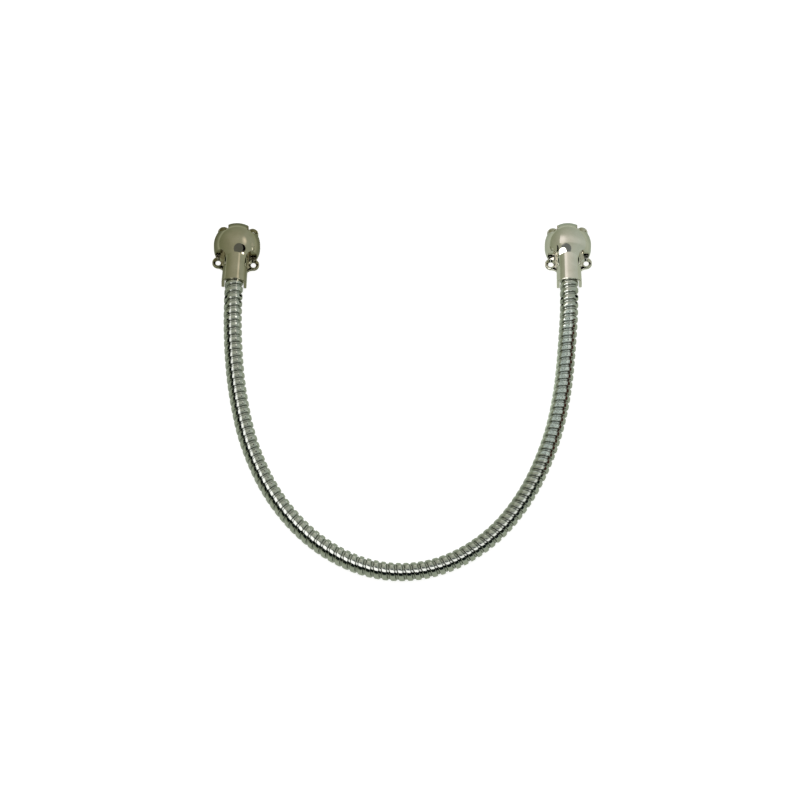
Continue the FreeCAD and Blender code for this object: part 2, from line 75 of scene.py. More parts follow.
class Nodes:
    """Adds nodes to a tree, each from its type, its properties and its inputs.

    Args:
        tree: The node tree to fill.
    """

    def __init__(self, tree: bpy.types.NodeTree) -> None:
        """Keeps the tree and empties it."""
        self.tree = tree
        tree.nodes.clear()

    def add(self, kind: str, settings: dict | None = None, **inputs: object) -> bpy.types.Node:
        """Adds one node.

        Args:
            kind: The node's type name.
            settings: Properties of the node, set before its inputs.
            inputs: Values or output sockets, by the input's name with _ for a space, or by i and its number.

        Returns:
            The new node.
        """
        node = self.tree.nodes.new(kind)
        for name, value in (settings or {}).items():
            setattr(node, name, value)
        for name, value in inputs.items():
            if name[0] == "i" and name[1:].isdigit():
                socket = node.inputs[int(name[1:])]
            else:
                socket = node.inputs[name.replace("_", " ")]
            self.feed(socket, value)
        return node

    def feed(self, socket: bpy.types.NodeSocket, value: object) -> None:
        """Links an output to a socket, or sets the socket's own value."""
        if isinstance(value, bpy.types.NodeSocket):
            self.tree.links.new(value, socket)
        else:
            socket.default_value = value

    def math(self, operation: str, *values: object) -> bpy.types.NodeSocket:
        """Output of a Math node on one to three values."""
        inputs = {f"i{number}": value for number, value in enumerate(values)}
        return self.add("ShaderNodeMath", {"operation": operation}, **inputs).outputs[0]

    def scaled(self, vector: object, factor: object) -> bpy.types.NodeSocket:
        """A vector times a number."""
        return self.add("ShaderNodeVectorMath", {"operation": "SCALE"}, i0=vector, Scale=factor).outputs[0]

    def summed(self, first: object, second: object) -> bpy.types.NodeSocket:
        """The sum of two vectors."""
        return self.add("ShaderNodeVectorMath", {"operation": "ADD"}, i0=first, i1=second).outputs[0]

    def ramp(self, value: object, stops: Sequence[tuple[float, Colour]]) -> bpy.types.NodeSocket:
        """Colour output of a Color Ramp.

        Args:
            value: The factor.
            stops: Positions with their colours, in order.

        Returns:
            The ramp's colour.
        """
        node = self.add("ShaderNodeValToRGB", None, Fac=value)
        elements = node.color_ramp.elements
        while len(elements) < len(stops):
            elements.new(1.0)
        for element, (position, colour) in zip(elements, stops):
            element.position = position
            element.color = (*colour, 1.0)
        return node.outputs["Color"]

    def ranged(
        self, value: object, low: float, high: float, to_low: float, to_high: float
    ) -> bpy.types.NodeSocket:
        """A value mapped from one range onto another and held inside it."""
        node = self.add("ShaderNodeMapRange", None, i0=value, i1=low, i2=high, i3=to_low, i4=to_high)
        return node.outputs[0]

    def blended(self, first: object, second: object, share: float) -> bpy.types.NodeSocket:
        """A share of the first value plus the rest of the second."""
        rest = self.math("MULTIPLY", second, 1.0 - share)
        return self.math("ADD", self.math("MULTIPLY", first, share), rest)

    def mixed(self, share: object, first: object, second: object) -> bpy.types.NodeSocket:
        """The colour between two colours, by the share of the second."""
        settings = {"data_type": "RGBA"}
        return self.add("ShaderNodeMix", settings, i0=share, i6=first, i7=second).outputs[2]

    def place(self) -> bpy.types.NodeSocket:
        """The place on the object, in the object's own coordinates."""
        return self.add("ShaderNodeTexCoord").outputs["Object"]

    def stretched(self, vector: object, scale: Point) -> bpy.types.NodeSocket:
        """A vector scaled along each axis by a factor of its own."""
        return self.add("ShaderNodeMapping", None, Vector=vector, Scale=scale).outputs[0]

    def noise(self, place: object, scale: float, detail: float) -> bpy.types.NodeSocket:
        """Factor of a noise texture at a place."""
        return self.add("ShaderNodeTexNoise", None, Vector=place, Scale=scale, Detail=detail).outputs[0]

    def spread(self, noise: object, to_low: float, to_high: float) -> bpy.types.NodeSocket:
        """A noise mapped from the span that it mostly fills onto a range."""
        return self.ranged(noise, *NOISE_SPAN, to_low, to_high)

    def bump(
        self, height: object, depth: float, strength: float, under: object = None
    ) -> bpy.types.NodeSocket:
        """Normal of a Bump node.

        Args:
            height: The relief, from 0 to 1.
            depth: How far the relief reaches, in metres.
            strength: How much of it shows.
            under: The normal that it is laid over, if there is one.

        Returns:
            The new normal.
        """
        node = self.add("ShaderNodeBump", None, Strength=strength, Distance=depth, Height=height)
        if under is not None:
            self.feed(node.inputs["Normal"], under)
        return node.outputs[0]

    def seen(self) -> bpy.types.NodeSocket:
        """1 for rays of the camera, of reflections and of transmission, and 0 for all others."""
        path = self.add("ShaderNodeLightPath").outputs
        seen = self.math("MAXIMUM", path["Is Camera Ray"], path["Is Glossy Ray"])
        return self.math("MAXIMUM", seen, path["Is Transmission Ray"])


def new_material(name: str) -> tuple[bpy.types.Material, Nodes, bpy.types.Node]:
    """An empty node material with a Principled shader on its output.

    Args:
        name: The material's name.

    Returns:
        The material, its node helper and the shader.
    """
    material = bpy.data.materials.new(name)
    material.use_nodes = True
    nodes = Nodes(material.node_tree)
    shader = nodes.add("ShaderNodeBsdfPrincipled")
    nodes.add("ShaderNodeOutputMaterial", None, Surface=shader.outputs[0])
    return material, nodes, shader


# Finishes


@dataclass(frozen=True)
class RolledSteel:
    """Bright cold-rolled stainless strip: fine lines along the strip, small dents, and painted shade that
    darkens the grooves.

    The lines follow the strip's own map, whose X runs along the strip and Y across it, in metres. The strip's
    height is 0 in the groove, 1 on the crest and under 0 in the gaps, which are painted near black as shade.
    """

    name: str = "bright_rolled_strip"
    bright: Colour = (0.60, 0.625, 0.58)
    painted_shade: Colour = (0.04, 0.042, 0.038)
    groove_painted_shade: float = 0.75
    bright_height: float = 0.9
    gap_shade_heights: Pair = (-0.3, -0.05)
    cloud_tone: float = 0.9
    cloud_scale: float = 260.0
    line_scale: float = 9000.0
    line_stretch: Point = (0.02, 1.0, 1.0)
    line_share: float = 0.6
    roughness: Pair = (0.07, 0.16)
    line_depth: float = 0.000004
    dent_scale: float = 1500.0
    dent_depth: float = 0.00003
    relief: float = 0.6

    def material(self) -> bpy.types.Material:
        """Builds the finish."""
        material, nodes, shader = new_material(self.name)
        strip = nodes.add("ShaderNodeAttribute", {"attribute_name": Strip.MAP.value}).outputs["Vector"]
        height = nodes.add("ShaderNodeAttribute", {"attribute_name": Strip.HEIGHT.value}).outputs["Fac"]
        place = nodes.place()
        lines = nodes.noise(nodes.stretched(strip, self.line_stretch), self.line_scale, 2.0)
        clouds = nodes.noise(place, self.cloud_scale, 3.0)
        # Painted shade: the grooves are darkened and the gaps turned near black by the strip's height.
        low = nodes.ranged(height, 0.0, self.bright_height, self.groove_painted_shade, 1.0)
        low = nodes.math("MULTIPLY", low, nodes.ranged(height, *self.gap_shade_heights, 0.0, 1.0))
        tone = nodes.math("MULTIPLY", low, nodes.spread(clouds, self.cloud_tone, 1.0))
        nodes.feed(shader.inputs["Base Color"], nodes.mixed(tone, (*self.painted_shade, 1), (*self.bright, 1)))
        rough = nodes.blended(lines, clouds, self.line_share)
        nodes.feed(shader.inputs["Roughness"], nodes.spread(rough, *self.roughness))
        dented = nodes.bump(nodes.noise(place, self.dent_scale, 1.0), self.dent_depth, self.relief)
        nodes.feed(shader.inputs["Normal"], nodes.bump(lines, self.line_depth, self.relief, dented))
        shader.inputs["Metallic"].default_value = 1.0
        return material


@dataclass(frozen=True)
class Plating:
    """Bright nickel on a buffed die casting: faint waves, hazy patches and fine buffing marks."""

    name: str
    bright: Colour
    deep: Colour
    roughness: Pair = (0.04, 0.10)
    wave_scale: float = 90.0
    wave_depth: float = 0.00006
    haze_scale: float = 160.0
    haze_share: float = 0.7
    buff_scale: float = 5200.0
    buff_stretch: Point = (1.0, 0.04, 0.3)
    relief: float = 0.5
    edge_radius: float = 0.00022
    edge_samples: int = 6

    def material(self) -> bpy.types.Material:
        """Builds the finish."""
        material, nodes, shader = new_material(self.name)
        place = nodes.place()
        waves = nodes.noise(place, self.wave_scale, 1.0)
        haze = nodes.noise(place, self.haze_scale, 4.0)
        buffing = nodes.noise(nodes.stretched(place, self.buff_stretch), self.buff_scale, 2.0)
        tone = nodes.spread(haze, 0.0, 1.0)
        nodes.feed(shader.inputs["Base Color"], nodes.mixed(tone, (*self.deep, 1), (*self.bright, 1)))
        rough = nodes.blended(haze, buffing, self.haze_share)
        nodes.feed(shader.inputs["Roughness"], nodes.spread(rough, *self.roughness))
        edges = nodes.add("ShaderNodeBevel", {"samples": self.edge_samples}, Radius=self.edge_radius)
        waved = nodes.bump(waves, self.wave_depth, self.relief, edges.outputs[0])
        nodes.feed(shader.inputs["Normal"], waved)
        shader.inputs["Metallic"].default_value = 1.0
        return material


@dataclass(frozen=True)
class CrimpedZinc:
    """Dull zinc on the pressed collar, spotted and scuffed."""

    name: str = "zinc_plated_collar"
    bright: Colour = (0.62, 0.62, 0.60)
    spotted: Colour = (0.40, 0.41, 0.42)
    spot_stops: Pair = (0.35, 0.6)
    roughness: Pair = (0.28, 0.45)
    grain_scale: float = 1400.0
    grain_depth: float = 0.00002
    relief: float = 0.4

    def material(self) -> bpy.types.Material:
        """Builds the finish."""
        material, nodes, shader = new_material(self.name)
        grain = nodes.noise(nodes.place(), self.grain_scale, 3.0)
        shade = nodes.ramp(grain, list(zip(self.spot_stops, (self.spotted, self.bright))))
        nodes.feed(shader.inputs["Base Color"], shade)
        nodes.feed(shader.inputs["Roughness"], nodes.spread(grain, *self.roughness))
        nodes.feed(shader.inputs["Normal"], nodes.bump(grain, self.grain_depth, self.relief))
        shader.inputs["Metallic"].default_value = 1.0
        return material


@dataclass(frozen=True)
class MouldedNylon:
    """Black nylon of the cable bush, with a fine moulded grain."""

    name: str = "black_nylon"
    base: Colour = (0.018, 0.018, 0.019)
    worn: Colour = (0.04, 0.04, 0.042)
    wear_stops: Pair = (0.4, 0.75)
    roughness: Pair = (0.38, 0.55)
    grain_scale: float = 2600.0
    grain_depth: float = 0.00003
    relief: float = 0.35

    def material(self) -> bpy.types.Material:
        """Builds the finish."""
        material, nodes, shader = new_material(self.name)
        grain = nodes.noise(nodes.place(), self.grain_scale, 2.0)
        shade = nodes.ramp(grain, list(zip(self.wear_stops, (self.base, self.worn))))
        nodes.feed(shader.inputs["Base Color"], shade)
        nodes.feed(shader.inputs["Roughness"], nodes.spread(grain, *self.roughness))
        nodes.feed(shader.inputs["Normal"], nodes.bump(grain, self.grain_depth, self.relief))
        return material


@dataclass(frozen=True)
class WhitePaper:
    """The floor: white paper that stays white in the picture and in the metal, and keeps the shadow."""

    name: str = "white_paper"
    colour: Colour = (0.55, 0.55, 0.55)
    lift: float = 0.72
    roughness: float = 0.9

    def material(self) -> bpy.types.Material:
        """Builds the finish."""
        material, nodes, shader = new_material(self.name)
        shader.inputs["Base Color"].default_value = (*self.colour, 1.0)
        shader.inputs["Roughness"].default_value = self.roughness
        shader.inputs["Specular IOR Level"].default_value = 0.0
        shader.inputs["Emission Color"].default_value = (1.0, 1.0, 1.0, 1.0)
        nodes.feed(shader.inputs["Emission Strength"], nodes.math("MULTIPLY", nodes.seen(), self.lift))
        return material


@dataclass(frozen=True)
class StudioGlow:
    """A lamp cloth or flag of one even brightness, which only the metal sees.

    A soft one shows as much at each point as the FADE attribute of its mesh says.
    """

    name: str
    colour: Colour = (1.0, 1.0, 1.0)
    strength: float = 1.0
    soft: bool = False

    def material(self) -> bpy.types.Material:
        """Builds the finish."""
        material = bpy.data.materials.new(self.name)
        material.use_nodes = True
        nodes = Nodes(material.node_tree)
        colour = self.shade(nodes)
        surface = nodes.add("ShaderNodeEmission", None, Color=colour, Strength=self.strength).outputs[0]
        if self.soft:
            fade = nodes.add("ShaderNodeAttribute", {"attribute_name": FADE}).outputs["Fac"]
            share = nodes.add("ShaderNodeMapRange", {"interpolation_type": "SMOOTHSTEP"}, i0=fade).outputs[0]
            clear = nodes.add("ShaderNodeBsdfTransparent").outputs[0]
            surface = nodes.add("ShaderNodeMixShader", None, i0=share, i1=clear, i2=surface).outputs[0]
        nodes.add("ShaderNodeOutputMaterial", None, Surface=surface)
        return material

    def shade(self, nodes: Nodes) -> object:
        """The colour, as a value or a socket of the material's tree."""
        return (*self.colour, 1.0)


@dataclass(frozen=True)
class TentGlow(StudioGlow):
    """The tent's cloth, whose colour changes from left to right and from its foot to its crown.

    Each level has three colours: at the left, in the middle and at the right.
    """

    crown: Sequence[Colour] = ()
    foot: Sequence[Colour] = ()
    stops: Point = (0.1, 0.5, 0.9)
    half: float = 1.0
    blend_height: float = 1.3

    def shade(self, nodes: Nodes) -> bpy.types.NodeSocket:
        """The colour by the place from left to right and by the height."""
        parts = nodes.add("ShaderNodeSeparateXYZ", None, Vector=nodes.place()).outputs
        share = nodes.ranged(parts["X"], -self.half, self.half, 0.0, 1.0)
        high = nodes.ramp(share, list(zip(self.stops, self.crown)))
        low = nodes.ramp(share, list(zip(self.stops, self.foot)))
        return nodes.mixed(nodes.ranged(parts["Z"], 0.0, self.blend_height, 0.0, 1.0), low, high)


@dataclass(frozen=True)
class StreakedGlow(StudioGlow):
    """A cloth with fine light and dark streaks from left to right."""

    dark: Colour = (0.0, 0.0, 0.0)
    stops: Pair = (0.43, 0.60)
    streak_scale: Point = (110.0, 1000.0, 0.0)

    def shade(self, nodes: Nodes) -> bpy.types.NodeSocket:
        """The colour by a noise that is stretched from left to right."""
        streaks = nodes.noise(nodes.stretched(nodes.place(), self.streak_scale), 1.0, 1.0)
        return nodes.ramp(streaks, list(zip(self.stops, (self.dark, self.colour))))


# The hose's route


@dataclass
class Route:
    """Line of the hose's axis, from the left collar's lip to the right one's.

    Its points are those of the CAD source's route, in metres.
    """

    points: Sequence[Point] = (
        (-0.09969, -0.00108, 0.0067),
        (-0.10171, -0.03001, 0.0067),
        (-0.1015, -0.062, 0.0060),
        (-0.0988, -0.092, 0.0056),
        (-0.0920, -0.126, 0.0056),
        (-0.0765, -0.1615, 0.0056),
        (-0.0510, -0.191, 0.0056),
        (-0.0175, -0.2085, 0.0056),
        (0.0185, -0.2078, 0.0056),
        (0.0515, -0.189, 0.0056),
        (0.0742, -0.1598, 0.0056),
        (0.0890, -0.1243, 0.0056),
        (0.0958, -0.092, 0.0056),
        (0.0985, -0.061, 0.0060),
        (0.10033, -0.03008, 0.0067),
        (0.09942, -0.00110, 0.0067),
    )
    samples: int = 24

    def line_mesh(self) -> bpy.types.Mesh:
        """The route's NURBS spline as a mesh of edges.

        Returns:
            A mesh that holds the spline's points in order.
        """
        curve = bpy.data.curves.new("hose_route", "CURVE")
        curve.dimensions = "3D"
        curve.resolution_u = self.samples
        spline = curve.splines.new("NURBS")
        spline.points.add(len(self.points) - 1)
        for control, point in zip(spline.points, self.points):
            control.co = (*point, 1.0)
        spline.order_u = 3
        spline.use_endpoint_u = True
        holder = bpy.data.objects.new("hose_route", curve)
        bpy.context.scene.collection.objects.link(holder)
        graph = bpy.context.evaluated_depsgraph_get()
        mesh = bpy.data.meshes.new_from_object(holder.evaluated_get(graph))
        bpy.data.objects.remove(holder)
        return mesh


# Hose


@dataclass
class WoundHose:
    """The hose: one steel strip wound right-handed. Each turn has a crest between two gaps, and a groove.

    Small distances in the strip's section are counted in steps.
    """

    route: Route
    finish: RolledSteel
    outer_radius: float = 0.0055
    groove_radius: float = 0.0046
    bore_radius: float = 0.0040
    pitch: float = 0.00472
    crest_width: float = 0.0030
    shoulder: float = 0.00050
    gap_width: float = 0.00028
    gap_depth: float = 0.00036
    step: float = 0.00004
    bore_step: float = 0.0002
    weld: float = 0.000004
    around: int = 44
    unevenness: float = 0.00022
    slip_scale: float = 90.0
    seed: float = 4.0
    cord_length: float = 0.512
    exit: Point = (-0.10099, -0.01974, 0.0067)
    companions: Sequence[str] = (
        "left_hose_collar",
        "right_hose_collar",
        "left_cable_bush",
        "right_cable_bush",
    )

    def section(self) -> list[Pair]:
        """The strip's outer section over one turn.

        Returns:
            Pairs of the place along the axis, as a share of the pitch, and the radius, in metres.
        """
        high, low = self.outer_radius, self.groove_radius
        deep = low - self.gap_depth
        start, end = self.gap_width, self.gap_width + self.crest_width
        corner, step = self.shoulder, self.step
        bulge = corner * (1 - math.sqrt(0.5))
        places = [
            (0.0, low),
            (2 * step, deep),
            (start, deep),
            (start, high - corner),
            (start + bulge * 0.6, high - bulge * 1.1),
            (start + corner * 0.9, high - 0.75 * step),
            (start + corner * 1.5, high),
            (end - corner * 1.9, high),
            (end - corner * 1.2, high - step),
            (end - bulge, high - bulge * 1.4),
            (end + 0.5 * step, high - corner * 1.25),
            (end + step, deep),
            (end + 5 * step, deep),
            (end + 6 * step, low - 1.5 * step),
            (end + 10 * step, low + step),
            (self.pitch - 6 * step, low + step),
        ]
        return [(along / self.pitch, radius) for along, radius in places]

    def tree(self, material: bpy.types.Material) -> bpy.types.NodeTree:
        """Geometry Nodes that wind the strip along a line of edges.

        Args:
            material: The finish of the whole hose.

        Returns:
            The node group.
        """
        tree = bpy.data.node_groups.new("wound_strip", "GeometryNodeTree")
        face = tree.interface
        face.new_socket("Geometry", in_out="INPUT", socket_type="NodeSocketGeometry")
        for name in ("Pitch", "Bore Radius", "Unevenness", "Seed"):
            face.new_socket(name, in_out="INPUT", socket_type="NodeSocketFloat")
        face.new_socket("Around", in_out="INPUT", socket_type="NodeSocketInt")
        face.new_socket("Geometry", in_out="OUTPUT", socket_type="NodeSocketGeometry")
        nodes = Nodes(tree)
        given = nodes.add("NodeGroupInput").outputs
        line = nodes.add("GeometryNodeMeshToCurve", None, Mesh=given["Geometry"]).outputs[0]
        line = nodes.add("GeometryNodeSetCurveNormal", {"mode": "Z_UP"}, Curve=line).outputs[0]
        length = nodes.add("GeometryNodeCurveLength", None, Curve=line).outputs[0]
        outside = self._winding(nodes, given, line, length, self.section(), outward=True)
        narrow, wide = self.bore_radius, self.bore_radius + self.bore_step
        bore = [(0.0, narrow), (0.3, narrow), (0.5, wide)]
        inside = self._winding(nodes, given, line, length, bore, outward=False)
        join = nodes.add("GeometryNodeJoinGeometry")
        for geometry in (inside, outside):
            tree.links.new(geometry, join.inputs[0])
        both = join.outputs[0]
        welded = nodes.add("GeometryNodeMergeByDistance", None, Geometry=both, Distance=self.weld)
        smooth = nodes.add("GeometryNodeSetShadeSmooth", None, Geometry=welded.outputs[0])
        real = nodes.add("GeometryNodeRealizeInstances", None, Geometry=smooth.outputs[0])
        dressed = nodes.add("GeometryNodeSetMaterial", None, Geometry=real.outputs[0], Material=material)
        nodes.add("NodeGroupOutput", None, Geometry=dressed.outputs[0])
        return tree

    def _winding(
        self,
        nodes: Nodes,
        given: bpy.types.NodeOutputs,
        line: bpy.types.NodeSocket,
        length: bpy.types.NodeSocket,
        section: Sequence[Pair],
        outward: bool,
    ) -> bpy.types.NodeSocket:
        """Winds one section along the line as a helical sheet that closes on itself.

        Args:
            nodes: The tree's helper.
            given: The group's inputs.
            line: The hose's axis as a curve.
            length: The axis's length.
            section: Places along one pitch with their radii.
            outward: Whether the faces look away from the axis.

        Returns:
            The sheet.
        """
        count = len(section)
        turns = nodes.math("ADD", nodes.math("CEIL", nodes.math("DIVIDE", length, given["Pitch"])), 2.0)
        rows = nodes.math("ADD", nodes.math("MULTIPLY", turns, float(count)), 1.0)
        columns = nodes.math("ADD", given["Around"], 1.0)
        grid = nodes.add("GeometryNodeMeshGrid", None, Vertices_X=rows, Vertices_Y=columns).outputs["Mesh"]
        index = nodes.add("GeometryNodeInputIndex").outputs[0]
        row = nodes.math("FLOOR", nodes.math("DIVIDE", nodes.math("ADD", index, 0.5), columns))
        column = nodes.math("SUBTRACT", index, nodes.math("MULTIPLY", row, columns))
        turn = nodes.math("FLOOR", nodes.math("DIVIDE", nodes.math("ADD", row, 0.5), float(count)))
        step = nodes.math("SUBTRACT", row, nodes.math("MULTIPLY", turn, float(count)))
        switch = nodes.add("GeometryNodeIndexSwitch", {"data_type": "VECTOR"}, Index=step)
        while len(switch.index_switch_items) < count:
            switch.index_switch_items.new()
        for number, (along, radius) in enumerate(section):
            switch.inputs[number + 1].default_value = (along, radius, 0.0)
        parts = nodes.add("ShaderNodeSeparateXYZ", None, Vector=switch.outputs[0]).outputs
        angle_share = nodes.math("DIVIDE", column, given["Around"])
        winds = nodes.math("ADD", turn, parts["X"])
        winds = nodes.math("ADD", winds, nodes.math("SUBTRACT", angle_share, 1.0))
        nominal = nodes.math("MULTIPLY", winds, given["Pitch"])
        drift = nodes.add(
            "ShaderNodeTexNoise",
            {"noise_dimensions": "1D"},
            W=nodes.math("ADD", nodes.math("MULTIPLY", nominal, self.slip_scale), given["Seed"]),
            Scale=1.0,
            Detail=2.0,
        ).outputs[0]
        slip = nodes.math("MULTIPLY", nodes.math("SUBTRACT", drift, 0.5), given["Unevenness"])
        wanted = nodes.math("ADD", nominal, slip)
        place = nodes.math("MINIMUM", nodes.math("MAXIMUM", wanted, 0.0), length)
        excess = nodes.math("ABSOLUTE", nodes.math("SUBTRACT", wanted, place))
        beyond = nodes.math("GREATER_THAN", excess, SAME_PLACE)
        choice = nodes.add("GeometryNodeSwitch", {"input_type": "FLOAT"}, Switch=beyond)
        nodes.feed(choice.inputs[1], parts["Y"])
        nodes.feed(choice.inputs[2], given["Bore Radius"])
        radius = choice.outputs[0]
        found = nodes.add(
            "GeometryNodeSampleCurve", {"mode": "LENGTH", "use_all_curves": True}, Curves=line, Length=place
        ).outputs
        side = nodes.add(
            "ShaderNodeVectorMath", {"operation": "CROSS_PRODUCT"}, i0=found["Tangent"], i1=found["Normal"]
        ).outputs[0]
        angle = nodes.math("MULTIPLY", angle_share, math.tau)
        reach = nodes.summed(
            nodes.scaled(found["Normal"], nodes.math("MULTIPLY", nodes.math("COSINE", angle), radius)),
            nodes.scaled(side, nodes.math("MULTIPLY", nodes.math("SINE", angle), radius)),
        )
        spot = nodes.summed(found["Position"], reach)
        strip = nodes.add(
            "ShaderNodeCombineXYZ",
            None,
            X=nodes.math("MULTIPLY", winds, math.tau * self.outer_radius),
            Y=nodes.math("MULTIPLY", parts["X"], given["Pitch"]),
        ).outputs[0]
        span = self.outer_radius - self.groove_radius
        rise = nodes.math("DIVIDE", nodes.math("SUBTRACT", radius, self.groove_radius), span)
        held = nodes.add("GeometryNodeCaptureAttribute", {"domain": "POINT"}, Geometry=grid)
        for kind, value in (("VECTOR", strip), ("FLOAT", rise), ("VECTOR", spot)):
            held.capture_items.new(kind, kind.title())
            nodes.feed(held.inputs[-2], value)
        bent = nodes.add(
            "GeometryNodeSetPosition", None, Geometry=held.outputs[0], Position=held.outputs[3]
        ).outputs[0]
        mapped = nodes.add(
            "GeometryNodeStoreNamedAttribute",
            {"data_type": "FLOAT2", "domain": "CORNER"},
            Geometry=bent,
            Name=Strip.MAP.value,
            Value=held.outputs[1],
        ).outputs[0]
        marked = nodes.add(
            "GeometryNodeStoreNamedAttribute",
            {"data_type": "FLOAT", "domain": "POINT"},
            Geometry=mapped,
            Name=Strip.HEIGHT.value,
            Value=held.outputs[2],
        ).outputs[0]
        if outward:
            return marked
        return nodes.add("GeometryNodeFlipFaces", None, Mesh=marked).outputs[0]

    def build(self) -> bpy.types.Object:
        """Returns:
            The hose's object.
        """
        line = self.route.line_mesh()
        source = bpy.data.objects.new("hose_line", line)
        bpy.context.scene.collection.objects.link(source)
        tree = self.tree(self.finish.material())
        modifier = source.modifiers.new("winding", "NODES")
        modifier.node_group = tree
        values = {
            "Pitch": self.pitch,
            "Bore Radius": self.bore_radius,
            "Unevenness": self.unevenness,
            "Seed": self.seed,
            "Around": self.around,
        }
        for item in tree.interface.items_tree:
            if item.in_out == "INPUT" and item.name in values:
                modifier[item.identifier] = values[item.name]
        graph = bpy.context.evaluated_depsgraph_get()
        mesh = bpy.data.meshes.new_from_object(source.evaluated_get(graph))
        bpy.data.objects.remove(source)
        mesh.name = "wound_hose"
        hose = bpy.data.objects.new("wound_hose", mesh)
        bpy.context.scene.collection.objects.link(hose)
        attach(hose, BODY)
        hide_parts("flexible_hose")
        return hose


# Caps and the pieces inside them


@dataclass
class CapEnd:
    """One end of the loop: the plated cap, with the collar and the bush inside it."""

    side: Side
    plating: Plating
    collar: CrimpedZinc
    bush: MouldedNylon

    def dress(self) -> list[bpy.types.Object]:
        """Gives the end's CAD nodes their finishes.

        Returns:
            The three nodes.
        """
        made = []
        finishes = {"end_cap": self.plating, "hose_collar": self.collar, "cable_bush": self.bush}
        for node, finish in finishes.items():
            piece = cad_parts[f"{self.side.value}_{node}"]
            piece.data.materials.clear()
            piece.data.materials.append(finish.material())
            made.append(piece)
            log.info("%s: %d faces", piece.name, len(piece.data.polygons))
        return made


# Studio


@dataclass(frozen=True)
class EarRow:
    """The small flag and the small lamp over each ear of one row.

    Their Y is given from the middle of the ear's hole, and their half sizes are along X and Y.
    """

    holes: Sequence[Pair]
    flag_y: float
    flag_half: Pair
    lamp_y: float
    lamp_half: Pair


LOWER_EARS = EarRow(
    holes=((-0.1105, -0.0038), (-0.0894, -0.0053), (0.0889, -0.0049), (0.1101, -0.0042)),
    flag_y=-0.0008,
    flag_half=(0.0030, 0.0026),
    lamp_y=-0.0022,
    lamp_half=(0.0009, 0.0009),
)
UPPER_EARS = EarRow(
    holes=((-0.1072, 0.0161), (-0.0899, 0.0149), (0.0903, 0.0152), (0.1075, 0.0158)),
    flag_y=0.0040,
    flag_half=(0.0020, 0.0020),
    lamp_y=0.0030,
    lamp_half=(0.0006, 0.0006),
)


def below(line: Sequence[Point], left: float, right: float) -> list[Point]:
    """The points of a line whose Y is under one limit where X is negative, and under another elsewhere."""
    return [point for point in line if point[1] < (left if point[0] < 0.0 else right)]


def on_right_leg(line: Sequence[Point], low: float, high: float) -> list[Point]:
    """The points of the hose's right leg between two Ys."""
    return [point for point in line if point[0] > 0.0 and low < point[1] < high]


